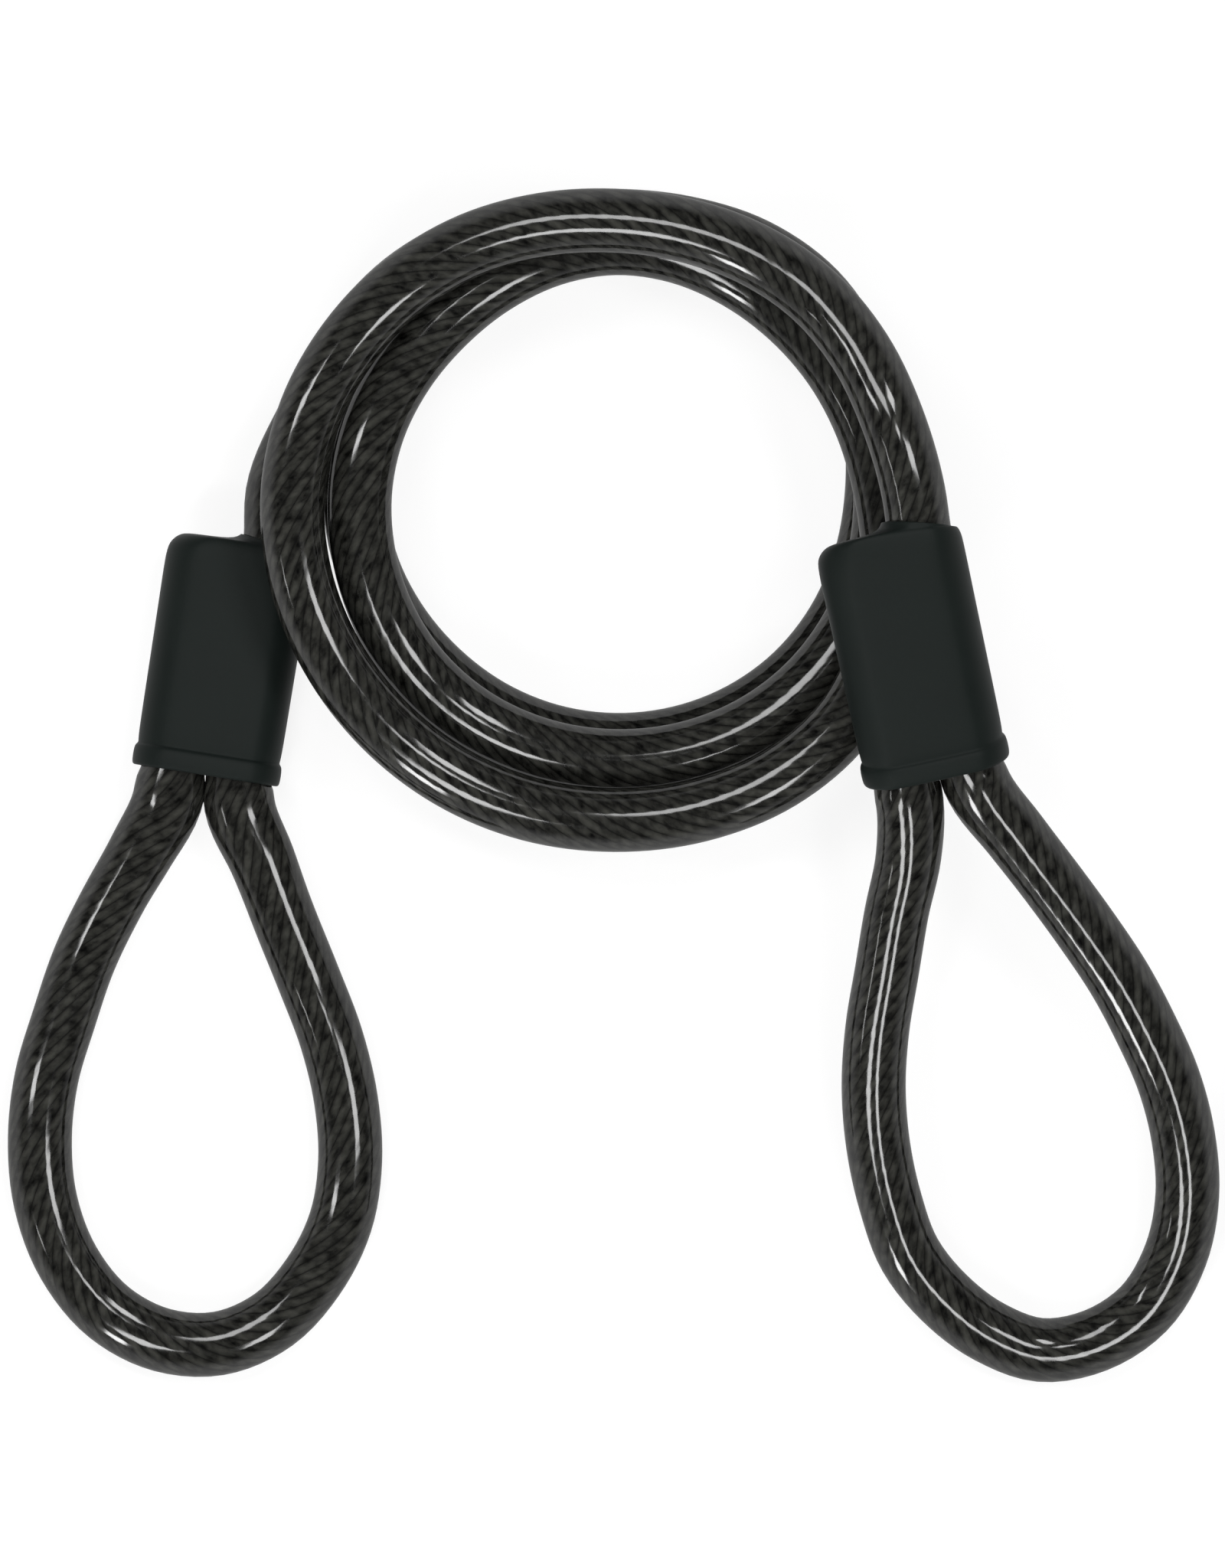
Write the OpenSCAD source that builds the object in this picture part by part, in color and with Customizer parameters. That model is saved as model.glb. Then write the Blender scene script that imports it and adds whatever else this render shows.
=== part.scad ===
// Double-loop security cable, coiled up.
// A jacketed wire rope makes three and a half loose turns and ends in an eye at each end.
// Each eye is closed by a crimped ferrule, and a moulded boot covers the ferrule.
// Millimetres, +Z up. The coil's lowest turn, the left eye and the left boot lie on Z = 0.

/* [Cable] */
// Outer diameter of the jacketed cable
cable_d = 12; // [10:0.5:13]
// Wall thickness of the jacket
jacket_wall = 2; // [1.6:0.1:2.6]
// Diameter of the core strand in the middle of the rope
core_d = 2.6; // [2:0.1:3]
// Clearance between one layer of the cable and the next, measured on the radius
layer_clear = 0.15; // [0.1:0.05:0.3]

/* [Coil] */
// Mean radius of the coil, at the middle of the cable
coil_r = 50; // [48:0.5:51]
// Centre of the coil, to the right of the part's middle
coil_x = 0.4; // [-1:0.1:2]
// Centre of the coil, away from the eyes
coil_y = 54.3; // [53.5:0.1:55]
// Clearance between a turn and the turn that it lies on
turn_clear = 0.5; // [0.45:0.05:1]

/* [Ferrules] */
// Length of the crimped ferrule
ferrule_l = 21; // [16:0.5:26]
// Clearance between the rope and the ferrule's bores, on the radius
ferrule_clear = 0.2; // [0.15:0.05:0.4]
// Number of crimped bands pressed into the ferrule
crimp_count = 3; // [2:1:4]
// Width of one crimped band
crimp_w = 3.6; // [2:0.2:3.8]
// Depth of one crimped band
crimp_depth = 0.4; // [0.2:0.1:0.8]
// Length of rope that stands out of the ferrule at its cut end
rope_stub = 1; // [0.5:0.1:1.5]

/* [Boots] */
// Wall thickness of the boot round the cable
boot_wall = 1.4; // [1:0.1:2]
// Clearance between the boot and the jackets in it, on the radius
boot_fit = 0.2; // [0.15:0.05:0.4]
// Gap between the two jackets that lie side by side in the boot
leg_gap = 0.2; // [0.1:0.05:0.5]
// Depth of the socket that holds each jacket's end
socket_l = 12; // [8:0.5:13]
// Gap between a jacket's end and the ferrule that it stops at
seat_gap = 0.2; // [0.1:0.05:0.3]
// Height of the lip round the boot's mouth
lip_h = 4; // [2:0.5:8]
// How far the lip stands proud of the boot
lip_proud = 0.35; // [0.2:0.05:0.6]
// Round on the boot's shoulder over the rope's cut end
dead_round = 4; // [3:0.5:7]
// Round on the boot's shoulder beside the cable
live_round = 3; // [2:0.5:5]
// How much lower the boot is over the rope's cut end
dead_drop = 1; // [0:0.25:2]

/* [Left boot] */
// Middle of the left boot's mouth, outside the coil's mean radius
left_out = 26.5; // [26:0.1:28]
// Middle of the left boot's mouth, below the coil's centre
left_below = 52.7; // [51:0.1:54]
// Lean of the left boot, clockwise
left_lean = 9; // [7:0.5:11]

/* [Right boot] */
// Middle of the right boot's mouth, outside the coil's mean radius
right_out = 10; // [9:0.1:11]
// Middle of the right boot's mouth, below the coil's centre
right_below = 51.7; // [50:0.1:53]
// Layers of cable under the right boot's mouth, where it lies across the coil
right_layers = 2.4; // [2.4:0.05:2.6]
// Clearance between the right boot and the coil that it lies across
right_clear = 0.1; // [0.1:0.1:0.5]
// Lean of the right boot, clockwise
right_lean = -12.3; // [-14:0.1:-11]

/* [Hidden] */

// A loop has this many rings, and its tube this many sides. The eyes' jackets have more sides.
turn_rings = 24;
coil_sides = 6;
eye_sides = 10;
$fn = 64;

// A cut or an outline runs this far past the solid that it shapes
beyond = 1;
// How far the shoulders' rounds start outside the boot's sides
side_ease = 0.5;
// How much wider the boot's exit for the cable is than its cavity, on the radius
exit_ease = 0.1;

// The cable's layers, from the jacket inwards
jacket_r = cable_d / 2;
bore_r = jacket_r - jacket_wall;
rope_r = bore_r * cos(180 / eye_sides) - layer_clear;
core_r = core_d / 2;
// The cable is flat where it lies on the surface, by a tenth of its diameter
floor_z = jacket_r - cable_d / 10;

// Two cables lie side by side in a boot, one on each lane
lane = (cable_d + leg_gap) / 2;
cavity_r = jacket_r + boot_fit;
boot_r = cavity_r + boot_wall;
lip_r = boot_r + lip_proud;
half_w = lane + boot_r;

// Stations along a boot's axis, from its mouth
ferrule_s = socket_l + seat_gap;
ferrule_top = ferrule_s + ferrule_l;
stub_top = ferrule_top + rope_stub;
cavity_top = stub_top + seat_gap;
live_s = ferrule_top + seat_gap;
boot_l = live_s + socket_l;

// The coil's turns run clockwise, with a station at every eighth of a turn from the left side.
// These are the stations' distances outside the mean radius. The first and the last one only
// steer the cable towards the boots.
station_turn = 45;
coil_out = [
    44,
    13, 5.5, 1, 3, -1, -2, -3, -3,
    -1.5, -4, -3, -1, 0.5, 1, 0, -0.5,
    -2.5, -5, -3.5, -3.5, 0.5, 10.5, 11, 11,
    10, 5, 0.5, 2, 5.5,
    22
];
// Heights of the same stations, in layers of cable. Each turn rests on the one before.
coil_layer = [
    0.3,
    0.2, 0, 0, 0, 0, 0, 0, 0,
    0.55, 0.8, 1, 1, 1, 1, 1, 1.05,
    1.55, 1.8, 2, 2.05, 2.1, 1.8, 1.6, 1.65,
    2, 2.5, 3, 3.3, 3.65,
    1.4
];
layer_h = cable_d + turn_clear;
coil_steps = (len(coil_out) - 3) * station_turn;

// The eyes' routes, from the cut end's leg round to the standing leg: across the boot, along
// it from the mouth, and out of its plane
left_eye = [
    [-6.3, -6, -0.5], [-9.5, -15.5, -1], [-13.5, -26, -2], [-17, -37.5, -3],
    [-19, -49, -3], [-20.5, -60.5, -3], [-20, -71.5, -3], [-17, -83.5, -3],
    [-11, -94, -3], [-2, -102, -3], [8.5, -105.5, -3], [19, -104.5, -3],
    [28.5, -98.5, -3], [34.5, -89.5, -3], [38, -78.5, -3], [38, -67, -3],
    [35.5, -56, -3], [31, -45, -3], [25, -34.5, -3], [19, -24.5, -2],
    [13, -14, -1], [7.2, -4.5, -0.5]
];
right_eye = [
    [-6.2, -5, 0], [-8.5, -15, 0], [-13, -25.5, 0], [-17, -36, 0],
    [-21, -46.5, 0], [-24, -57.5, 0], [-25.5, -69, 0], [-25.5, -80, 0],
    [-24, -91, 0], [-19.5, -100.5, 0], [-12.5, -109, 0], [-4, -114.5, 0],
    [6.5, -115, 0], [16.5, -111, 0], [24.5, -102, 0], [29, -91, 0],
    [30.5, -80, 0], [30, -68, 0], [28, -58, 0], [25, -47, 0],
    [21, -36.5, 0], [16.5, -26, 0], [11.7, -15.5, 0], [7, -5, 0]
];

// ---- Places and routes ----

// The right boot lies across the coil, and slopes so that its eye comes down to the surface
right_z = floor_z + right_layers * layer_h + boot_r - jacket_r + right_clear;
right_reach = -min([for (p = right_eye) p[1]]);
right_tilt = asin((right_z - floor_z) / right_reach);

// Places of the two boots: the middle of the mouth, the lean and the slope
left_place = [coil_x - coil_r - left_out, coil_y - left_below, lip_r, left_lean, 0];
right_place = [coil_x + coil_r + right_out, coil_y - right_below, right_z, right_lean, right_tilt];

function unit(v) = v / norm(v);
function boot_across(place) = [cos(place[3]), -sin(place[3]), 0];
function boot_along(place) =
    [sin(place[3]) * cos(place[4]), cos(place[3]) * cos(place[4]), sin(place[4])];

// A point given across a boot, along it and out of its plane
function boot_point(place, p) =
    let (across = boot_across(place))
    let (along = boot_along(place))
    [place[0], place[1], place[2]] + p[0] * across + p[1] * along + p[2] * cross(across, along);

function boot_points(place, points) = [for (p = points) boot_point(place, p)];

// A smooth curve through evenly spaced stations, u of the way past the second one
function smooth(v, u) =
    let (k = min(floor(u), len(v) - 4))
    let (t = u - k)
    let (from_slope = (v[k + 2] - v[k]) / 2)
    let (to_slope = (v[k + 3] - v[k + 1]) / 2)
    (2 * t * t * t - 3 * t * t + 1) * v[k + 1] + (t * t * t - 2 * t * t + t) * from_slope
    + (3 * t * t - 2 * t * t * t) * v[k + 2] + (t * t * t - t * t) * to_slope;

// The coil's centre line, a turned angle after the left side
function coil_point(turned) =
    let (r = coil_r + smooth(coil_out, turned / station_turn))
    let (z = floor_z + layer_h * smooth(coil_layer, turned / station_turn))
    [coil_x - r * cos(turned), coil_y + r * sin(turned), z];

function coil_points(step) = [for (turned = [0:step:coil_steps]) coil_point(turned)];

coil_path = concat(
    boot_points(left_place, [[lane, live_s, 0], [lane, boot_l, 0]]),
    coil_points(360 / turn_rings),
    boot_points(right_place, [[lane, boot_l, 0], [lane, live_s, 0]])
);
left_eye_path = boot_points(left_place,
    concat([[-lane, socket_l, 0], [-lane, 0, 0]], left_eye, [[lane, 0, 0], [lane, socket_l, 0]]));
right_eye_path = boot_points(right_place,
    concat([[-lane, socket_l, 0], [-lane, 0, 0]], right_eye, [[lane, 0, 0], [lane, socket_l, 0]]));

function backwards(list) = [for (i = [len(list) - 1:-1:0]) list[i]];

// The rope runs from its left cut end to its right one, through eyes, ferrules and coil
rope_path = concat(
    [boot_point(left_place, [-lane, stub_top, 0])],
    left_eye_path,
    coil_path,
    backwards(right_eye_path),
    [boot_point(right_place, [-lane, stub_top, 0])]
);

// The least gap between the coil's turns, on points 5 degrees apart
gap_step = 5;
half_turn = 180 / gap_step;
gap_points = coil_points(gap_step);
least_gap = min([for (i = [0:len(gap_points) - half_turn - 1])
    min([for (j = [i + half_turn:len(gap_points) - 1]) norm(gap_points[j] - gap_points[i])])
]) - cable_d;
echo(least_gap_between_turns_mm = least_gap);

// ---- Swept tubes ----

// Direction of a path at a point, halfway between the stretches that meet there
function heading(path, i) =
    let (before = i > 0 ? unit(path[i] - path[i - 1]) : [0, 0, 0])
    let (after = i < len(path) - 1 ? unit(path[i + 1] - path[i]) : [0, 0, 0])
    unit(before + after);

// Corners of the tube's outline at a point, with a flat side down and none below the surface
function ring(path, i, r, sides) =
    let (ahead = heading(path, i))
    let (across = unit(cross(ahead, [0, 0, 1])))
    let (up = cross(across, ahead))
    [for (k = [0:sides - 1])
        let (p = path[i] + r * (cos(k * 360 / sides) * across + sin(k * 360 / sides) * up))
        [p[0], p[1], max(p[2], 0)]];

function rings(path, r, sides) = [for (i = [0:len(path) - 1]) each ring(path, i, r, sides)];

// Triangles of a tube's skin, whose corners start at number first
function skin(count, sides, first) =
    [for (i = [0:count - 2]) for (k = [0:sides - 1])
        let (a = first + i * sides + k)
        let (b = first + i * sides + (k + 1) % sides)
        each [[a, b, a + sides], [b, b + sides, a + sides]]];

function turned_over(faces) = [for (f = faces) [f[0], f[2], f[1]]];

// Triangles that close a solid tube's first end
function lid(sides, first) = [for (k = [1:sides - 2]) [first, first + k + 1, first + k]];

// Triangles that join the outline and the bore at a hollow tube's first end
function rim(sides, outer, inner) =
    [for (k = [0:sides - 1])
        let (n = (k + 1) % sides)
        each [[outer + k, inner + k, inner + n], [outer + k, inner + n, outer + n]]];

module solid_tube(path, r, sides) {
    last = (len(path) - 1) * sides;
    polyhedron(
        rings(path, r, sides),
        concat(skin(len(path), sides, 0), lid(sides, 0), turned_over(lid(sides, last)))
    );
}

module hollow_tube(path, r, bore, sides) {
    inner = len(path) * sides;
    last = inner - sides;
    polyhedron(
        concat(rings(path, r, sides), rings(path, bore, sides)),
        concat(
            skin(len(path), sides, 0),
            turned_over(skin(len(path), sides, inner)),
            rim(sides, 0, inner),
            turned_over(rim(sides, last, inner + last))
        )
    );
}

// ---- Ferrules and boots ----

// Puts a shape that stands on its mouth at a boot's place
module at_boot(place) {
    translate([place[0], place[1], place[2]])
        rotate([place[4] - 90, 0, -place[3]])
            children();
}

// Outline of two lanes side by side
module two_lanes(r) {
    square([2 * lane, 2 * r], center = true);
    for (side = [-1, 1])
        translate([side * lane, 0])
            circle(r);
}

module ferrule() {
    band_pitch = ferrule_l / (crimp_count + 0.5);
    translate([0, 0, ferrule_s])
        difference() {
            linear_extrude(ferrule_l)
                two_lanes(jacket_r);
            for (side = [-1, 1])
                translate([side * lane, 0, -beyond])
                    cylinder(h = ferrule_l + 2 * beyond, r = rope_r + ferrule_clear);
            for (i = [0:crimp_count - 1])
                translate([0, 0, ferrule_l / 2 + (i - (crimp_count - 1) / 2) * band_pitch])
                    crimp_band();
        }
}

// The ring of metal that one crimp presses in
module crimp_band() {
    translate([0, 0, -crimp_w / 2])
        linear_extrude(crimp_w)
            difference() {
                two_lanes(jacket_r + beyond);
                two_lanes(jacket_r - crimp_depth);
            }
}

// The boot's outline seen from its flat side: two shoulders, the lower one at the cut end
module boot_outline() {
    side = half_w + side_ease;
    dead_top = boot_l - dead_drop;
    translate([-side + dead_round, dead_top - dead_round])
        circle(dead_round);
    translate([side - live_round, boot_l - live_round])
        circle(live_round);
    polygon([
        [-side, -beyond], [side, -beyond],
        [side, boot_l - live_round], [side - live_round, boot_l],
        [-side + dead_round, dead_top], [-side, dead_top - dead_round]
    ]);
}

module boot() {
    difference() {
        union() {
            intersection() {
                linear_extrude(boot_l + beyond)
                    two_lanes(boot_r);
                translate([0, boot_r + beyond, 0])
                    rotate([90, 0, 0])
                        linear_extrude(2 * (boot_r + beyond))
                            boot_outline();
            }
            linear_extrude(lip_h)
                two_lanes(lip_r);
        }
        translate([0, 0, -beyond])
            linear_extrude(cavity_top + beyond)
                two_lanes(cavity_r);
        translate([lane, 0, ferrule_top])
            cylinder(h = boot_l, r = cavity_r + exit_ease);
    }
}

// ---- Sub-parts ----

module coil_jacket() {
    color("#24221f") hollow_tube(coil_path, jacket_r, bore_r, coil_sides);
}

module left_eye_jacket() {
    color("#24221f") hollow_tube(left_eye_path, jacket_r, bore_r, eye_sides);
}

module right_eye_jacket() {
    color("#24221f") hollow_tube(right_eye_path, jacket_r, bore_r, eye_sides);
}

// The six strands laid round the core, as one plain layer
module rope_strands() {
    color("#8c8a86") hollow_tube(rope_path, rope_r, core_r + layer_clear, coil_sides);
}

module rope_core() {
    color("#a09e9a") solid_tube(rope_path, core_r, coil_sides);
}

module left_ferrule() {
    color("#b4b6b8") at_boot(left_place) ferrule();
}

module right_ferrule() {
    color("#b4b6b8") at_boot(right_place) ferrule();
}

module left_boot() {
    color("#23272a") at_boot(left_place) boot();
}

module right_boot() {
    color("#23272a") at_boot(right_place) boot();
}

coil_jacket();
left_eye_jacket();
right_eye_jacket();
rope_strands();
rope_core();
left_ferrule();
right_ferrule();
left_boot();
right_boot();
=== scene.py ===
"""Looks of a coiled double-loop security cable.

Smoke-tinted jackets lie over a laid wire rope, and a moulded boot closes the eye at each end.
Metres, +Z up. The coil's lowest turn, the left eye and the left boot lie on Z = 0.
"""
import math

import bpy
import bmesh
from mathutils import Matrix, Vector


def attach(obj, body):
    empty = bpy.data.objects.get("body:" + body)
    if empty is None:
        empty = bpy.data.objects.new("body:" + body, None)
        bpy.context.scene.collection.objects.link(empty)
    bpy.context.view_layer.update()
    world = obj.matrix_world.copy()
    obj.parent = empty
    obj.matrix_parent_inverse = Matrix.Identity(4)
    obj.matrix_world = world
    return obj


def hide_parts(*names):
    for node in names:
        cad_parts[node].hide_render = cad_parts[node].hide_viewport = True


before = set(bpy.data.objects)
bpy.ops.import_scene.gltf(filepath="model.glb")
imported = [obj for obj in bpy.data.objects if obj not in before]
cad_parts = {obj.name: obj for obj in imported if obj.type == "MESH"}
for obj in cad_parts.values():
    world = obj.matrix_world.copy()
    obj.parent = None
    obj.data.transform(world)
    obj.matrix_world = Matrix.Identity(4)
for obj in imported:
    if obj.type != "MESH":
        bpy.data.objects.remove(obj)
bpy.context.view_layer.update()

# ---- Sizes of the cable ----

CABLE_R = 0.006
JACKET_WALL = 0.002
BORE_R = CABLE_R - JACKET_WALL
CORE_R = 0.0013
LAYER_CLEAR = 0.00015
# The rope is as thick as fits between the flats of a bore with this many sides
BORE_FLATS = 10
ROPE_R = BORE_R * math.cos(math.pi / BORE_FLATS) - LAYER_CLEAR
# The cable's middle over the surface, where its weight flattens it by this share of its diameter
FLATTENED = 0.1
FLOOR_Z = CABLE_R - FLATTENED * 2 * CABLE_R

# The rope's lay: strands of seven wires round a core strand, in right-hand lay
STRANDS = 6
LAY_LENGTH = 0.065
STRAND_R = (ROPE_R - CORE_R - LAYER_CLEAR) / 2
STRAND_OUT = ROPE_R - STRAND_R
# A strand's outer wires, how many of them show at once, the length of their lay, and how deep the
# valleys between them are, as a share of the strand's radius
OUTER_WIRES = 6
WIRES_SEEN = 3
WIRE_LAY_LENGTH = 0.045
VALLEY_DEPTH = 0.16

# ---- Sizes of the coil ----

COIL_R = 0.05
COIL_X = 0.0004
COIL_Y = 0.0543
TURN_CLEAR = 0.0005
LAYER_H = 2 * CABLE_R + TURN_CLEAR
# Degrees from one of the coil's stations to the next, and from one point of its route to the next
STATION_TURN = 45
POINT_TURN = 15
# Distances of the stations outside the coil's mean radius, clockwise from the one before its left
# side to the one past its end
COIL_OUT = [
    0.044,
    0.013, 0.0055, 0.001, 0.003, -0.001, -0.002, -0.003, -0.003,
    -0.0015, -0.004, -0.003, -0.001, 0.0005, 0.001, 0, -0.0005,
    -0.0025, -0.005, -0.0035, -0.0035, 0.0005, 0.0105, 0.011, 0.011,
    0.01, 0.005, 0.0005, 0.002, 0.0055,
    0.022,
]
# Heights of the same stations, in layers of cable
COIL_LAYER = [
    0.3,
    0.2, 0, 0, 0, 0, 0, 0, 0,
    0.55, 0.8, 1, 1, 1, 1, 1, 1.05,
    1.55, 1.8, 2, 2.05, 2.1, 1.8, 1.6, 1.65,
    2, 2.5, 3, 3.3, 3.65,
    1.4,
]

# ---- Sizes of the boots and what they hold ----

# Both legs of an eye lie in a boot, each in its lane. From the live lane the cable goes on to the
# coil, and the dead lane is closed over the rope's cut end.
LEG_GAP = 0.0002
LANE = CABLE_R + LEG_GAP / 2
SOCKET_L = 0.012
SEAT_GAP = 0.0002
FERRULE_L = 0.021
ROPE_STUB = 0.001
BOOT_WALL = 0.0014
BOOT_FIT = 0.0002
EXIT_EASE = 0.0001
LIP_H = 0.004
LIP_PROUD = 0.00035
# How far the boot's end is rounded over each lane, and how much lower it is over the dead one
LIVE_ROUND = 0.003
DEAD_ROUND = 0.004
DEAD_DROP = 0.001
# Radii of the cavity, the exit, the boot's outside and its lip, and half the boot's width
CAVITY_R = CABLE_R + BOOT_FIT
EXIT_R = CAVITY_R + EXIT_EASE
BOOT_R = CAVITY_R + BOOT_WALL
LIP_R = BOOT_R + LIP_PROUD
HALF_W = LANE + BOOT_R
# Distances from the mouth: to the far ends of the ferrule, the cut rope and the cavity, to the start
# of the coil's jacket, and to the boot's own end
FERRULE_TOP = SOCKET_L + SEAT_GAP + FERRULE_L
STUB_TOP = FERRULE_TOP + ROPE_STUB
CAVITY_TOP = STUB_TOP + SEAT_GAP
LIVE_START = FERRULE_TOP + SEAT_GAP
BOOT_L = LIVE_START + SOCKET_L

# Routes of the eyes: across the boot, along it from the mouth, and out of its plane
LEFT_EYE = [
    (-0.0063, -0.006, -0.0005), (-0.0095, -0.0155, -0.001), (-0.0135, -0.026, -0.002),
    (-0.017, -0.0375, -0.003), (-0.019, -0.049, -0.003), (-0.0205, -0.0605, -0.003),
    (-0.02, -0.0715, -0.003), (-0.017, -0.0835, -0.003), (-0.011, -0.094, -0.003),
    (-0.002, -0.102, -0.003), (0.0085, -0.1055, -0.003), (0.019, -0.1045, -0.003),
    (0.0285, -0.0985, -0.003), (0.0345, -0.0895, -0.003), (0.038, -0.0785, -0.003),
    (0.038, -0.067, -0.003), (0.0355, -0.056, -0.003), (0.031, -0.045, -0.003),
    (0.025, -0.0345, -0.003), (0.019, -0.0245, -0.002), (0.013, -0.014, -0.001),
    (0.0072, -0.0045, -0.0005),
]
RIGHT_EYE = [
    (-0.0062, -0.005, 0), (-0.0085, -0.015, 0), (-0.013, -0.0255, 0), (-0.017, -0.036, 0),
    (-0.021, -0.0465, 0), (-0.024, -0.0575, 0), (-0.0255, -0.069, 0), (-0.0255, -0.08, 0),
    (-0.024, -0.091, 0), (-0.0195, -0.1005, 0), (-0.0125, -0.109, 0), (-0.004, -0.1145, 0),
    (0.0065, -0.115, 0), (0.0165, -0.111, 0), (0.0245, -0.102, 0), (0.029, -0.091, 0),
    (0.0305, -0.08, 0), (0.03, -0.068, 0), (0.028, -0.058, 0), (0.025, -0.047, 0),
    (0.021, -0.0365, 0), (0.0165, -0.026, 0), (0.0117, -0.0155, 0), (0.007, -0.005, 0),
]

# Places of the boots: how far outside the coil and below its middle the mouth is, and the lean
LEFT_OUT = 0.0265
LEFT_BELOW = 0.0527
LEFT_LEAN = math.radians(9)
RIGHT_OUT = 0.01
RIGHT_BELOW = 0.0517
RIGHT_LEAN = math.radians(-12.3)
# The right boot lies on this many layers of cable, and slopes so that its eye reaches the surface
RIGHT_LAYERS = 2.4
RIGHT_CLEAR = 0.0001
RIGHT_Z = FLOOR_Z + RIGHT_LAYERS * LAYER_H + BOOT_R - CABLE_R + RIGHT_CLEAR
RIGHT_REACH = -min(point[1] for point in RIGHT_EYE)
RIGHT_TILT = math.asin((RIGHT_Z - FLOOR_Z) / RIGHT_REACH)


# ---- Routes ----

def boot_matrix(x, y, z, lean, tilt):
    """A boot's own frame: X across it, Y out of its plane and towards the surface, Z along it."""
    across = Vector((math.cos(lean), -math.sin(lean), 0))
    along = Vector((math.sin(lean) * math.cos(tilt), math.cos(lean) * math.cos(tilt), math.sin(tilt)))
    down = along.cross(across)
    columns = Matrix((across, down, along)).transposed().to_4x4()
    return Matrix.Translation((x, y, z)) @ columns


LEFT_X = COIL_X - COIL_R - LEFT_OUT
RIGHT_X = COIL_X + COIL_R + RIGHT_OUT
LEFT_BOOT = boot_matrix(LEFT_X, COIL_Y - LEFT_BELOW, LIP_R, LEFT_LEAN, 0)
RIGHT_BOOT = boot_matrix(RIGHT_X, COIL_Y - RIGHT_BELOW, RIGHT_Z, RIGHT_LEAN, RIGHT_TILT)


def boot_points(boot, points):
    """Points given across a boot, along it and out of its plane, in the part's own frame."""
    return [boot @ Vector((across, -out, along)) for across, along, out in points]


def curve_between(a, b, slope_a, slope_b, t):
    """The place at t, from 0 to 1, on a smooth curve from a to b that has these slopes there."""
    return (
        (2 * t**3 - 3 * t**2 + 1) * a + (t**3 - 2 * t**2 + t) * slope_a
        + (3 * t**2 - 2 * t**3) * b + (t**3 - t**2) * slope_b
    )


def between_stations(values, u):
    """The value on a smooth curve through evenly spaced stations, u of them past the second one."""
    k = min(math.floor(u), len(values) - 4)
    slope_a = (values[k + 2] - values[k]) / 2
    slope_b = (values[k + 3] - values[k + 1]) / 2
    return curve_between(values[k + 1], values[k + 2], slope_a, slope_b, u - k)


def coil_point(turned):
    """The point of the coil's middle line that lies turned degrees clockwise past its left side."""
    r = COIL_R + between_stations(COIL_OUT, turned / STATION_TURN)
    z = FLOOR_Z + LAYER_H * between_stations(COIL_LAYER, turned / STATION_TURN)
    angle = math.radians(turned)
    return Vector((COIL_X - r * math.cos(angle), COIL_Y + r * math.sin(angle), z))


def eye_route(boot, eye):
    """An eye's route, from the socket on the cut end's side round to the other socket."""
    start = [(-LANE, SOCKET_L, 0), (-LANE, 0, 0)]
    end = [(LANE, 0, 0), (LANE, SOCKET_L, 0)]
    return boot_points(boot, start + eye + end)


COIL_TURNED = (len(COIL_OUT) - 3) * STATION_TURN
coil_route = (
    boot_points(LEFT_BOOT, [(LANE, LIVE_START, 0), (LANE, BOOT_L, 0)])
    + [coil_point(turned) for turned in range(0, COIL_TURNED + 1, POINT_TURN)]
    + boot_points(RIGHT_BOOT, [(LANE, BOOT_L, 0), (LANE, LIVE_START, 0)])
)
left_eye_route = eye_route(LEFT_BOOT, LEFT_EYE)
right_eye_route = eye_route(RIGHT_BOOT, RIGHT_EYE)[::-1]
left_stub = boot_points(LEFT_BOOT, [(-LANE, STUB_TOP, 0)])
right_stub = boot_points(RIGHT_BOOT, [(-LANE, STUB_TOP, 0)])
cable_route = left_stub + left_eye_route + coil_route + right_eye_route + right_stub

# The number of each jacket's first and last point on the cable's route
LEFT_EYE_SPAN = (len(left_stub), len(left_stub) + len(left_eye_route) - 1)
COIL_SPAN = (LEFT_EYE_SPAN[1] + 1, LEFT_EYE_SPAN[1] + len(coil_route))
RIGHT_EYE_SPAN = (COIL_SPAN[1] + 1, COIL_SPAN[1] + len(right_eye_route))


def directions(points):
    """The direction of a smooth curve at each of its points, per metre of its length."""
    steps = [b - a for a, b in zip(points, points[1:])]
    found = [steps[0].normalized()]
    for before, after in zip(steps, steps[1:]):
        share = before.length / (before.length + after.length)
        found.append(before.normalized() * (1 - share) + after.normalized() * share)
    return found + [steps[-1].normalized()]


def smooth_line(points, step):
    """Samples of a smooth curve through the points, and the number of the sample at each point."""
    samples = [points[0]]
    numbers = [0]
    ahead = directions(points)
    for i, (a, b) in enumerate(zip(points, points[1:])):
        span = (b - a).length
        count = max(1, round(span / step))
        for n in range(1, count + 1):
            samples.append(curve_between(a, b, span * ahead[i], span * ahead[i + 1], n / count))
        numbers.append(len(samples) - 1)
    return samples, numbers


def carried_frames(samples):
    """Side directions that follow a line without twisting round it, and distances along it."""
    sides = []
    distances = [0]
    out = Vector((0, 0, 1))
    for i, point in enumerate(samples):
        ahead = (samples[min(i + 1, len(samples) - 1)] - samples[max(i - 1, 0)]).normalized()
        out = (out - ahead * out.dot(ahead)).normalized()
        sides.append((out, ahead.cross(out)))
        if i:
            distances.append(distances[-1] + (point - samples[i - 1]).length)
    return sides, distances


SAMPLE_STEP = 0.002
cable_line, cable_numbers = smooth_line(cable_route, SAMPLE_STEP)
cable_sides, cable_distances = carried_frames(cable_line)


# ---- Camera ----

# The camera looks straight down from so far that sizes hardly change with height
CAMERA_AWAY = 8
# Length of the view's upright side, at this height over the surface
VIEW_H = 0.29257
VIEW_Z = 0.02
# In millimetres, as Blender's lenses are
SENSOR = 36


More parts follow.
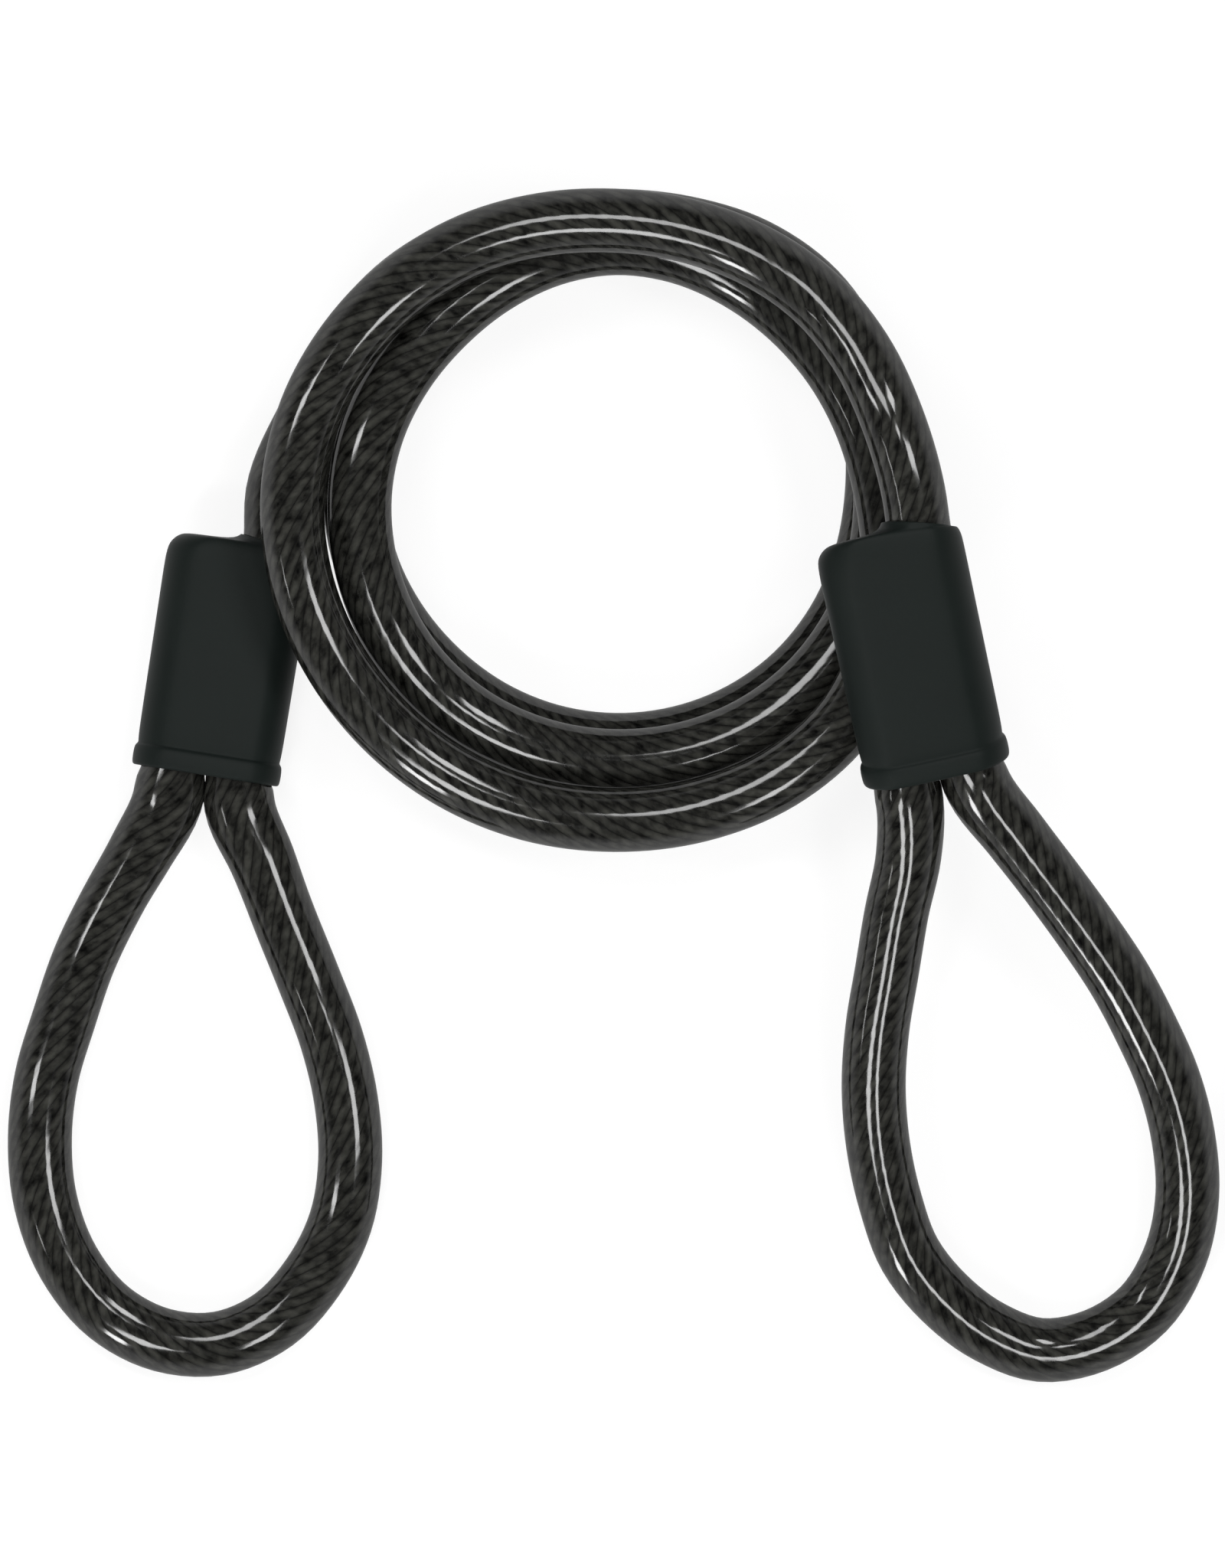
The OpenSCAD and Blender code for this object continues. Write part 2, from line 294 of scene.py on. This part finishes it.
def add_camera():
    data = bpy.data.cameras.new("view_from_above")
    data.sensor_width = SENSOR
    data.lens = SENSOR * CAMERA_AWAY / VIEW_H
    camera = bpy.data.objects.new("view_from_above", data)
    camera.location = (0, 0, CAMERA_AWAY + VIEW_Z)
    bpy.context.scene.collection.objects.link(camera)
    bpy.context.scene.camera = camera


add_camera()


# ---- Meshes of the cable ----

def new_piece(name, vertices, faces):
    mesh = bpy.data.meshes.new(name)
    mesh.from_pydata(vertices, [], faces)
    mesh.update()
    piece = bpy.data.objects.new(name, mesh)
    bpy.context.scene.collection.objects.link(piece)
    for polygon in mesh.polygons:
        polygon.use_smooth = True
    return piece


def ring(i, radius, sides, centre_out=0, centre_turn=0, wires=0, wire_turn=0, wider=0):
    """A ring round the cable's line at sample i, or round a strand that lies centre_out from it.
    It may have the valleys between a strand's wires, and be wider on both sides than it is high.
    It never reaches below the surface."""
    out, across = cable_sides[i]
    middle = cable_line[i] + centre_out * (math.cos(centre_turn) * out + math.sin(centre_turn) * across)
    points = []
    for k in range(sides):
        turn = 2 * math.pi * k / sides
        r = radius
        if wires:
            r *= 1 - VALLEY_DEPTH * (1 - abs(math.cos(wires / 2 * (turn - wire_turn))))
        point = middle + r * math.cos(turn) * out + (r + wider) * math.sin(turn) * across
        point.z = max(point.z, 0)
        points.append(point)
    return points


def joined_rings(rings, closed):
    """Vertices and faces of a skin over rings, closed round to the first ring or with flat ends."""
    sides = len(rings[0])
    vertices = [point for one in rings for point in one]
    faces = []
    for i in range(len(rings) if closed else len(rings) - 1):
        j = (i + 1) % len(rings)
        for k in range(sides):
            n = (k + 1) % sides
            faces.append((i * sides + k, i * sides + n, j * sides + n, j * sides + k))
    if not closed:
        faces.append(tuple(reversed(range(sides))))
        faces.append(tuple(range(len(vertices) - sides, len(vertices))))
    return vertices, faces


# A jacket's sides and how many times sparser the rings in its bore are
JACKET_SIDES = 32
BORE_SKIP = 4
# How much wider on each side a jacket is where it is squeezed out of a boot's mouth, and how far
# past the mouth that is full and gone
BULGE = 0.0007
BULGE_FULL = 0.003
BULGE_GONE = 0.026
# The baked picture of a jacket is cut into strips side by side, with this share of a strip's width
# left free on both sides
STRIP_MARGIN = 0.06
# A jacket face's corners in order, as steps to the next ring and to the next side
FACE_CORNERS = ((0, 0), (0, 1), (1, 1), (1, 0))


def eased(t):
    """Rises smoothly from 0 to 1 with t."""
    t = min(max(t, 0), 1)
    return t * t * (3 - 2 * t)


def bulge(past_mouth):
    """How far a jacket's sides stand proud of its own radius, at a distance past the boot's mouth."""
    if past_mouth <= 0:
        return 0
    return BULGE * eased(past_mouth / BULGE_FULL) * (1 - eased(past_mouth / BULGE_GONE))


def add_maps(piece, distances, length):
    """Adds a jacket's two maps. Lay has the share of a turn round the cable in U and the distance
    along the cable in V. OFBake has the strips of the baked picture."""
    lay = piece.data.uv_layers.new(name="Lay").data
    baked = piece.data.uv_layers.new(name="OFBake").data
    strips = math.ceil(math.sqrt(length / (2 * math.pi * CABLE_R)))
    per_strip = math.ceil((len(distances) - 1) / strips)
    for polygon in piece.data.polygons:
        i, k = divmod(polygon.index, JACKET_SIDES)
        strip, place = divmod(i, per_strip)
        # The lay map's seam is on the underside, where the turns would otherwise start on top
        half_turn = 0.5 if k < JACKET_SIDES / 2 else -0.5
        for loop, (next_ring, next_side) in zip(polygon.loop_indices, FACE_CORNERS):
            round_share = (k + next_side) / JACKET_SIDES
            lay[loop].uv = (round_share + half_turn, distances[i + next_ring])
            across_strip = STRIP_MARGIN + round_share * (1 - 2 * STRIP_MARGIN)
            baked[loop].uv = ((place + next_ring) / per_strip, (strip + across_strip) / strips)


def jacket(name, span, mouths):
    """A hollow jacket between two points of the route, with or without a boot's mouth at its ends.
    Gives the piece, the line that it follows and its length."""
    first, last = cable_numbers[span[0]], cable_numbers[span[1]]
    outer = list(range(first, last + 1))
    bore = outer[::-BORE_SKIP]
    if bore[-1] != first:
        bore.append(first)
    rings = []
    for i in outer:
        past = min(cable_distances[i] - cable_distances[first], cable_distances[last] - cable_distances[i])
        rings.append(ring(i, CABLE_R, JACKET_SIDES, wider=bulge(past - SOCKET_L) if mouths else 0))
    rings += [ring(i, BORE_R, JACKET_SIDES) for i in bore]
    piece = new_piece(name, *joined_rings(rings, closed=True))
    length = cable_distances[last] - cable_distances[first]
    add_maps(piece, [cable_distances[i] for i in outer + bore + [first]], length)
    return piece, [cable_line[i] for i in outer], length


STRAND_SIDES = 12


def strand(number):
    """One of the strands that are laid round the core, in right-hand lay."""
    rings = []
    for i, distance in enumerate(cable_distances):
        turn = 2 * math.pi * (distance / LAY_LENGTH + number / STRANDS)
        wire_turn = turn - 2 * math.pi * distance / WIRE_LAY_LENGTH
        rings.append(ring(i, STRAND_R, STRAND_SIDES, STRAND_OUT, turn, OUTER_WIRES, wire_turn))
    return joined_rings(rings, closed=False)


def laid_strands():
    vertices = []
    faces = []
    for number in range(STRANDS):
        more_vertices, more_faces = strand(number)
        start = len(vertices)
        vertices += more_vertices
        faces += [tuple(start + v for v in face) for face in more_faces]
    return new_piece("laid_strands", vertices, faces)


def core_strand():
    rings = []
    for i, distance in enumerate(cable_distances):
        wire_turn = 2 * math.pi * distance / WIRE_LAY_LENGTH
        rings.append(ring(i, CORE_R, STRAND_SIDES, wires=OUTER_WIRES, wire_turn=wire_turn))
    return new_piece("core_strand", *joined_rings(rings, closed=False))


coil, coil_path, coil_length = jacket("smoke_jacket_coil", COIL_SPAN, mouths=False)
left_eye, left_eye_path, left_eye_length = jacket("smoke_jacket_left_eye", LEFT_EYE_SPAN, mouths=True)
right_eye, right_eye_path, right_eye_length = jacket("smoke_jacket_right_eye", RIGHT_EYE_SPAN, mouths=True)
strands = laid_strands()
core = core_strand()

for piece, node in (
    (coil, "coil_jacket"), (left_eye, "left_eye_jacket"), (right_eye, "right_eye_jacket"),
    (strands, "rope_strands"), (core, "rope_core"),
):
    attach(piece, "root")
    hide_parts(node)


# ---- Boots ----

# The sides of a boot's outlines, and how many times its mesh is then subdivided
BOOT_SIDES = 32
ROUNDING_LEVELS = 2
# Softness of the boot's edges, how far its faces crown, and the groove beside its lip
EDGE = 0.0004
CROWN = 0.0002
GROOVE_DEPTH = 0.0002
# How much wider the boot gets from its mouth to its shoulders, on each side
FLARE = 0.0003
# Where the body and its rounded shoulder have outlines: shares of the boot's length, and degrees
BODY_SHARES = (0.3, 0.55, 0.75)
SHOULDER_ANGLES = (0, 30, 60, 85)
# The rim round the cable: its wall, how far its foot is drawn in, and the step at its foot
RIM_WALL = 0.0006
RIM_DRAWN_IN = 0.00012
RIM_STEP = 0.0008
# Each rim's slant, and how far past the boot's nominal length it reaches: where the two lanes
# meet, at the boot's side, and over the cut end of the rope
LEFT_RIM = (0, 0.0004, -0.0012, -DEAD_DROP)
RIGHT_RIM = (math.radians(20), 0.0038, -0.0002, 0.0016)


def add_outline(left, right, half, left_z, right_z, crown=0, slant=0):
    """Adds one outline of a boot to the mesh in edit mode: a ring pulled apart to two lanes. It
    leans from left to right, its flat sides crown, and with a slant its upper side is further
    along the boot."""
    bpy.ops.mesh.select_all(action="DESELECT")
    bpy.ops.mesh.primitive_circle_add(vertices=BOOT_SIDES, radius=half, location=(0, 0, right_z))
    mesh = bmesh.from_edit_mesh(bpy.context.object.data)
    mesh.verts.ensure_lookup_table()
    outline = mesh.verts[-BOOT_SIDES:]
    near_middle = half / 100
    groups = (
        ([v for v in outline if v.co.x > near_middle], (right - half, 0, 0)),
        ([v for v in outline if v.co.x < -near_middle], (left + half, 0, 0)),
        ([v for v in outline if abs(v.co.x) < near_middle], ((left + right) / 2, 0, 0)),
    )
    for group, move in groups:
        for v in outline:
            v.select = v in group
        mesh.select_flush_mode()
        bpy.ops.transform.translate(value=move)
    for v in outline:
        v.select = True
    mesh.select_flush_mode()
    # A turned outline is stretched, so that it keeps its size seen along the boot
    lean = math.atan2(right_z - left_z, right - left)
    stretch = (1 / math.cos(lean), (1 + crown / half) / math.cos(slant), 1)
    end = (right, 0, right_z)
    bpy.ops.transform.resize(value=stretch, center_override=end)
    bpy.ops.transform.rotate(value=slant, orient_axis="X", center_override=end)
    bpy.ops.transform.rotate(value=lean, orient_axis="Y", center_override=end)


def bridge_outlines(count):
    """Joins each outline to the next one, and the last one to the first."""
    for i in range(count):
        mesh = bmesh.from_edit_mesh(bpy.context.object.data)
        bpy.ops.mesh.select_all(action="DESELECT")
        for number, v in enumerate(mesh.verts):
            v.select = number // BOOT_SIDES in (i, (i + 1) % count)
        mesh.select_flush_mode()
        bpy.ops.mesh.bridge_edge_loops()


def boot_outlines(rim_slant, middle_rise, side_rise, dead_rise):
    """What add_outline needs for each of a boot's outlines, in their order: up its outside from the
    mouth, in at the exit and back down."""
    def both_lanes(half, z, crown=0):
        return (-LANE - half, LANE + half, half, z, z, crown)

    def body(z, crown=CROWN):
        return both_lanes(BOOT_R + FLARE * (z / BOOT_L - 0.5), z, crown)

    def shoulder(angle):
        rise = 1 - math.sin(math.radians(angle))
        run = 1 - math.cos(math.radians(angle))
        inset = run * (BOOT_R - EXIT_R - RIM_WALL) - FLARE / 2
        return (
            -HALF_W - FLARE / 2 + run * DEAD_ROUND,
            HALF_W - inset,
            BOOT_R - inset,
            BOOT_L + dead_rise - rise * DEAD_ROUND,
            BOOT_L + side_rise - rise * LIVE_ROUND,
            CROWN * (1 - run),
            rim_slant * (1 - rise),
        )

    def rim_foot():
        r = EXIT_R + RIM_WALL - RIM_DRAWN_IN
        return (LANE - r - RIM_STEP, LANE + r, r, BOOT_L + dead_rise, BOOT_L + side_rise, 0, rim_slant)

    def rim_end(r, below):
        middle_z = BOOT_L + middle_rise - below
        side_z = BOOT_L + side_rise - below
        return (LANE - r, LANE + r, r, middle_z, side_z, 0, rim_slant)

    def exit_bore(z):
        return (LANE - EXIT_R, LANE + EXIT_R, EXIT_R, z, z)

    return [
        both_lanes(CAVITY_R + EDGE / 2, 0),
        both_lanes(LIP_R - EDGE, 0),
        both_lanes(LIP_R, EDGE),
        both_lanes(LIP_R, LIP_H - EDGE),
        body(LIP_H, crown=0),
        both_lanes(BOOT_R - FLARE / 2 - GROOVE_DEPTH, LIP_H + EDGE),
        body(LIP_H + 3 * EDGE, crown=CROWN / 2),
        *[body(BOOT_L * share) for share in BODY_SHARES],
        *[shoulder(angle) for angle in SHOULDER_ANGLES],
        rim_foot(),
        rim_end(EXIT_R + RIM_WALL / 2, 0),
        rim_end(EXIT_R, EDGE / 2),
        rim_end(EXIT_R, 2 * EDGE),
        exit_bore(CAVITY_TOP + 2 * EDGE),
        exit_bore(CAVITY_TOP + EDGE / 2),
        both_lanes(CAVITY_R - EDGE / 2, CAVITY_TOP),
        both_lanes(CAVITY_R, CAVITY_TOP - EDGE),
        both_lanes(CAVITY_R, 2 * EDGE),
        both_lanes(CAVITY_R, EDGE),
    ]


def moulded_boot(name, place, rim):
    """A boot that is modelled upright on its mouth, smoothed, and then put in its place."""
    bpy.ops.object.select_all(action="DESELECT")
    mesh = bpy.data.meshes.new(name)
    piece = bpy.data.objects.new(name, mesh)
    bpy.context.scene.collection.objects.link(piece)
    bpy.context.view_layer.objects.active = piece
    piece.select_set(True)
    bpy.ops.object.mode_set(mode="EDIT")
    outlines = boot_outlines(*rim)
    for outline in outlines:
        add_outline(*outline)
    bridge_outlines(len(outlines))
    bpy.ops.mesh.select_all(action="SELECT")
    bpy.ops.mesh.normals_make_consistent(inside=False)
    bpy.ops.object.mode_set(mode="OBJECT")
    rounding = piece.modifiers.new("rounding", "SUBSURF")
    rounding.levels = ROUNDING_LEVELS
    rounding.render_levels = ROUNDING_LEVELS
    bpy.ops.object.modifier_apply(modifier=rounding.name)
    mesh.transform(place)
    bpy.ops.object.shade_smooth()
    piece.select_set(False)
    return piece


left_boot = moulded_boot("moulded_boot_left", LEFT_BOOT, LEFT_RIM)
right_boot = moulded_boot("moulded_boot_right", RIGHT_BOOT, RIGHT_RIM)
for piece, node in ((left_boot, "left_boot"), (right_boot, "right_boot")):
    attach(piece, "root")
    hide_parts(node)


# ---- Materials ----

def linear(colour):
    """An sRGB hex colour as the linear one that a shader takes."""
    channels = [int(colour[i:i + 2], 16) / 255 for i in (1, 3, 5)]
    return [c / 12.92 if c <= 0.04045 else ((c + 0.055) / 1.055) ** 2.4 for c in channels] + [1]


def add_node(tree, kind, inputs=None, **settings):
    """Adds a node with its settings. An input takes a value, another node's output, or another
    node, which stands for its first output."""
    node = tree.nodes.new(kind)
    for name, value in settings.items():
        setattr(node, name, value)
    for name, value in (inputs or {}).items():
        if isinstance(value, bpy.types.Node):
            value = value.outputs[0]
        if isinstance(value, bpy.types.NodeSocket):
            tree.links.new(value, node.inputs[name])
        else:
            node.inputs[name].default_value = value
    return node


def new_material(name):
    """A material with nothing but its output, and the node tree to fill."""
    material = bpy.data.materials.new(name)
    material.use_nodes = True
    material.node_tree.nodes.clear()
    return material, material.node_tree


# A Mix node's inputs and output for colours, which share their names with those for numbers
MIX_SHARE = 0
MIX_FROM = 6
MIX_TO = 7
MIX_COLOUR = 2

PVC_IOR = 1.53

# The wires that show side by side round the rope
WIRES_ROUND = STRANDS * WIRES_SEEN
# Painted shade: how light a wire is painted beside the valley between two strands, against one on top of a
# strand
VALLEY_LIGHT = 0.6
# Painted highlights on the wires, drawn as light patches: their length, how steeply noise makes them, and
# what is taken off it
#  to leave dark gaps between them
PAINTED_GLINT_LENGTH = 0.0025
PAINTED_GLINT_CONTRAST = 2.2
PAINTED_GLINT_DARK = 0.5
# The relief of the wires under the tint, where a strand rises this many times as far as a wire
WIRE_RELIEF = 0.0003
STRAND_RISE = 2
# The ripple in the gloss over the wires: its height, and the length of its stretches
RIPPLE_H = 0.000004
RIPPLE_LENGTH = 0.012


def smoke_pvc():
    """Smoke-tinted clear PVC, extruded over wire rope: a wet gloss that ripples a little over the wires,
    and under it the laid wires with painted highlights as soft slanting patches and painted shade, dark in
    the valleys between them."""
    material, tree = new_material("smoke_pvc_over_wire_rope")
    lay_map = add_node(tree, "ShaderNodeUVMap", uv_map="Lay")
    lay = add_node(tree, "ShaderNodeSeparateXYZ", {0: lay_map})
    along = lay.outputs["Y"]
    turns = add_node(tree, "ShaderNodeMath", {0: along, 1: LAY_LENGTH}, operation="DIVIDE")
    place = add_node(tree, "ShaderNodeMath", {0: lay.outputs["X"], 1: turns}, operation="SUBTRACT")

    def tops(count):
        """The round tops of count strands or wires round the rope, 0 in the valleys between them."""
        number = add_node(tree, "ShaderNodeMath", {0: place, 1: count}, operation="MULTIPLY")
        share = add_node(tree, "ShaderNodeMath", {0: number}, operation="FRACT")
        across = add_node(tree, "ShaderNodeMath", {0: share, 1: 2, 2: -1}, operation="MULTIPLY_ADD")
        squared = add_node(tree, "ShaderNodeMath", {0: across, 1: across}, operation="MULTIPLY")
        rest = add_node(tree, "ShaderNodeMath", {0: 1, 1: squared}, operation="SUBTRACT")
        return add_node(tree, "ShaderNodeMath", {0: rest}, operation="SQRT")

    def along_wires(length, detail):
        """Noise as wide as a wire and this long along the cable."""
        wires = add_node(tree, "ShaderNodeMath", {0: place, 1: WIRES_ROUND}, operation="MULTIPLY")
        lengths = add_node(tree, "ShaderNodeMath", {0: along, 1: length}, operation="DIVIDE")
        vector = add_node(tree, "ShaderNodeCombineXYZ", {0: wires, 1: lengths})
        inputs = {"Vector": vector, "Scale": 1, "Detail": detail}
        return add_node(tree, "ShaderNodeTexNoise", inputs, noise_dimensions="2D")

    strand_tops = tops(STRANDS)
    wire_tops = tops(WIRES_ROUND)
    # Painted shade: the wires are painted darker towards the valleys between wires and between strands
    lit = add_node(tree, "ShaderNodeMath", {
        0: strand_tops, 1: 1 - VALLEY_LIGHT, 2: VALLEY_LIGHT,
    }, operation="MULTIPLY_ADD")
    shine = add_node(tree, "ShaderNodeMath", {0: wire_tops, 1: lit}, operation="MULTIPLY")
    # Painted highlights: light patches of noise along the wires, with dark gaps between them
    painted_glints = add_node(tree, "ShaderNodeMath", {
        0: along_wires(PAINTED_GLINT_LENGTH, detail=3), 1: PAINTED_GLINT_CONTRAST, 2: -PAINTED_GLINT_DARK,
    }, operation="MULTIPLY_ADD")
    painted_glints = add_node(tree, "ShaderNodeMath", {0: painted_glints, 1: 0}, operation="MAXIMUM")
    light = add_node(tree, "ShaderNodeMath", {0: shine, 1: painted_glints}, operation="MULTIPLY")
    # From painted shade, nearly black, in the valleys to grey steel with painted highlights under the
    # smoke tint
    colour = add_node(tree, "ShaderNodeMix", {
        MIX_SHARE: light, MIX_FROM: linear("#030303"), MIX_TO: linear("#3b3b37"),
    }, data_type="RGBA")
    relief = add_node(tree, "ShaderNodeMath", {
        0: strand_tops, 1: STRAND_RISE, 2: wire_tops,
    }, operation="MULTIPLY_ADD")
    bump = add_node(tree, "ShaderNodeBump", {
        "Strength": 0.35, "Distance": WIRE_RELIEF, "Height": relief,
    })
    phase = add_node(tree, "ShaderNodeMath", {
        0: place, 1: 2 * math.pi * WIRES_ROUND,
    }, operation="MULTIPLY")
    wave = add_node(tree, "ShaderNodeMath", {0: phase}, operation="COSINE")
    ripple = add_node(tree, "ShaderNodeMath", {
        0: wave, 1: along_wires(RIPPLE_LENGTH, detail=0),
    }, operation="MULTIPLY")
    ripple = add_node(tree, "ShaderNodeBump", {
        "Strength": 1, "Distance": RIPPLE_H, "Height": ripple,
    })
    shader = add_node(tree, "ShaderNodeBsdfPrincipled", {
        "Base Color": colour.outputs[MIX_COLOUR],
        "Roughness": 0.45,
        "IOR": PVC_IOR,
        "Specular IOR Level": 0,
        # A weaker coat of a denser gloss than PVC's, which keeps the rims dark beside a white floor
        "Coat Weight": 0.35,
        "Coat Roughness": 0.1,
        "Coat IOR": 2,
        "Normal": bump,
        "Coat Normal": ripple,
    })
    add_node(tree, "ShaderNodeOutputMaterial", {0: shader})
    return material


# The mould's grain on the boots, which is drawn coarser than a real one so that it shows, and the
# soft haze in their tone
GRAIN_SIZE = 0.0004
GRAIN_DEPTH = 0.0001
HAZE_SIZE = 0.0083


def moulded_black():
    """Black plasticised PVC, injection moulded over the ferrule: an even satin black with the
    fine grain of the mould."""
    material, tree = new_material("moulded_black_pvc")
    place = add_node(tree, "ShaderNodeTexCoord").outputs["Object"]
    grain = add_node(tree, "ShaderNodeTexNoise", {
        "Vector": place, "Scale": 1 / GRAIN_SIZE, "Detail": 2,
    })
    haze = add_node(tree, "ShaderNodeTexNoise", {
        "Vector": place, "Scale": 1 / HAZE_SIZE, "Detail": 3,
    })
    colour = add_node(tree, "ShaderNodeMix", {
        MIX_SHARE: haze, MIX_FROM: linear("#0b1210"), MIX_TO: linear("#131a18"),
    }, data_type="RGBA")
    roughness = add_node(tree, "ShaderNodeMapRange", {
        "Value": haze, "To Min": 0.5, "To Max": 0.62,
    })
    bump = add_node(tree, "ShaderNodeBump", {
        "Strength": 0.15, "Distance": GRAIN_DEPTH, "Height": grain,
    })
    shader = add_node(tree, "ShaderNodeBsdfPrincipled", {
        "Base Color": colour.outputs[MIX_COLOUR],
        "Roughness": roughness,
        "IOR": PVC_IOR,
        "Specular IOR Level": 0.14,
        "Normal": bump,
    })
    add_node(tree, "ShaderNodeOutputMaterial", {0: shader})
    return material


# How much rougher a metal is in its bright places than in its dark ones
METAL_SPREAD = 0.15


def metal(name, dark, bright, roughness, patch_size):
    """A bare metal whose surface changes softly between two tones."""
    material, tree = new_material(name)
    place = add_node(tree, "ShaderNodeTexCoord").outputs["Object"]
    tone = add_node(tree, "ShaderNodeTexNoise", {
        "Vector": place, "Scale": 1 / patch_size, "Detail": 4,
    })
    colour = add_node(tree, "ShaderNodeMix", {
        MIX_SHARE: tone, MIX_FROM: linear(dark), MIX_TO: linear(bright),
    }, data_type="RGBA")
    spread = add_node(tree, "ShaderNodeMapRange", {
        "Value": tone, "To Min": roughness, "To Max": roughness + METAL_SPREAD,
    })
    shader = add_node(tree, "ShaderNodeBsdfPrincipled", {
        "Base Color": colour.outputs[MIX_COLOUR], "Metallic": 1, "Roughness": spread,
    })
    add_node(tree, "ShaderNodeOutputMaterial", {0: shader})
    return material


pvc = smoke_pvc()
boot_plastic = moulded_black()
# Drawn steel wire, hot-dip galvanised: a dull grey with small lighter spangles
galvanised_wire = metal("galvanised_steel_wire", "#7d7c79", "#a3a29e", roughness=0.35, patch_size=0.0011)
# Aluminium sleeve, pressed in a die: a pale satin whose tone changes softly
pressed_aluminium = metal("pressed_aluminium", "#a9abad", "#c6c8ca", roughness=0.3, patch_size=0.002)

for piece in (coil, left_eye, right_eye):
    piece.data.materials.append(pvc)
for piece in (left_boot, right_boot):
    piece.data.materials.append(boot_plastic)
for piece in (strands, core):
    piece.data.materials.append(galvanised_wire)
for node in ("left_ferrule", "right_ferrule"):
    for material_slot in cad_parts[node].material_slots:
        material_slot.material = pressed_aluminium


# ---- Floor, lights and world ----

FLOOR_SIZE = 6
FLOOR_BELOW = 0.0001
# What the floor's glow adds to its lit paint, so that both reach white outside the object's shadow
FLOOR_GLOW = 0.84


def add_floor():
    """A floor of mid-grey paint, which throws little light back up at the object. It glows for the
    camera, gloss and glass alone, so that it is white there but keeps the object's shadow."""
    bpy.ops.object.select_all(action="DESELECT")
    bpy.ops.mesh.primitive_plane_add(size=FLOOR_SIZE, location=(0, 0, -FLOOR_BELOW))
    floor = bpy.context.object
    floor.name = "floor"
    material, tree = new_material("white_floor")
    rays = add_node(tree, "ShaderNodeLightPath")
    seen = add_node(tree, "ShaderNodeMath", {
        0: rays.outputs["Is Camera Ray"], 1: rays.outputs["Is Glossy Ray"],
    }, operation="ADD")
    seen = add_node(tree, "ShaderNodeMath", {
        0: seen, 1: rays.outputs["Is Transmission Ray"],
    }, operation="ADD", use_clamp=True)
    strength = add_node(tree, "ShaderNodeMath", {0: seen, 1: FLOOR_GLOW}, operation="MULTIPLY")
    paint = add_node(tree, "ShaderNodeBsdfDiffuse", {"Color": linear("#808080")})
    glow = add_node(tree, "ShaderNodeEmission", {"Strength": strength})
    both = add_node(tree, "ShaderNodeAddShader", {0: paint, 1: glow})
    add_node(tree, "ShaderNodeOutputMaterial", {0: both})
    floor.data.materials.append(material)


# Where the pale sweep behind the floor starts to darken and where the dim room begins, as heights
# from the horizon's 0 to the zenith's 1, and the room's light as a share of the sweep's
SWEEP_TOP = 0.05
ROOM_BOTTOM = 0.4
ROOM_LIGHT = 0.08


def add_world():
    """A dim room over a sweep round the floor, which is pale at the horizon and darkens upwards."""
    world = bpy.data.worlds.new("studio")
    bpy.context.scene.world = world
    world.use_nodes = True
    tree = world.node_tree
    tree.nodes.clear()
    direction = add_node(tree, "ShaderNodeTexCoord").outputs["Generated"]
    parts = add_node(tree, "ShaderNodeSeparateXYZ", {0: direction})
    strength = add_node(tree, "ShaderNodeMapRange", {
        "Value": parts.outputs["Z"],
        "From Min": SWEEP_TOP, "From Max": ROOM_BOTTOM,
        "To Min": 1, "To Max": ROOM_LIGHT,
    })
    room = add_node(tree, "ShaderNodeBackground", {"Strength": strength})
    add_node(tree, "ShaderNodeOutputWorld", {0: room})


# How high the softboxes hang over the surface, all but the low one
LAMP_Z = 1.2
LOW_LAMP_Z = 0.9


def add_softbox(name, start, end, width, brightness, z=LAMP_Z):
    """A flat lamp that hangs from start to end and faces the object. Its brightness is in times
    that of white paper in full light."""
    start = Vector((*start, z))
    end = Vector((*end, z))
    middle = (start + end) / 2
    along = (end - start).normalized()
    back = (middle - along * middle.dot(along)).normalized()
    data = bpy.data.lights.new(name, "AREA")
    data.shape = "RECTANGLE"
    data.size = (end - start).length
    data.size_y = width
    data.energy = brightness * math.pi * data.size * data.size_y
    lamp = bpy.data.objects.new(name, data)
    turn = Matrix((along, back.cross(along), back)).transposed().to_4x4()
    lamp.matrix_world = Matrix.Translation(middle) @ turn
    bpy.context.scene.collection.objects.link(lamp)


add_floor()
add_world()
add_softbox("softbox_front_far_left", (-1.9, -0.75), (-1.7, -0.7), 0.2, 10)
add_softbox("softbox_front_left", (-0.3, -0.86), (-0.45, -0.68), 0.4, 14)
add_softbox("softbox_front_right", (0.24, -0.9), (0.44, -0.86), 0.36, 14)
add_softbox("softbox_low_left", (-1, -1.8), (-1.2, -1.64), 0.5, 24, z=LOW_LAMP_Z)
add_softbox("softbox_left", (-1.08, 0.05), (-1.07, 0.17), 0.4, 16)
add_softbox("softbox_back_left", (-0.06, 0.3), (-0.56, 0.5), 0.26, 10)
add_softbox("softbox_back_right", (0.45, 0.5), (0.3, 0.65), 0.36, 14)
add_softbox("softbox_right", (0.54, 0.13), (0.57, -0.08), 0.36, 13)
add_softbox("softbox_above", (0.16, 0.06), (0.1, 0.14), 0.16, 14)

bpy.context.scene.view_settings.view_transform = "Standard"
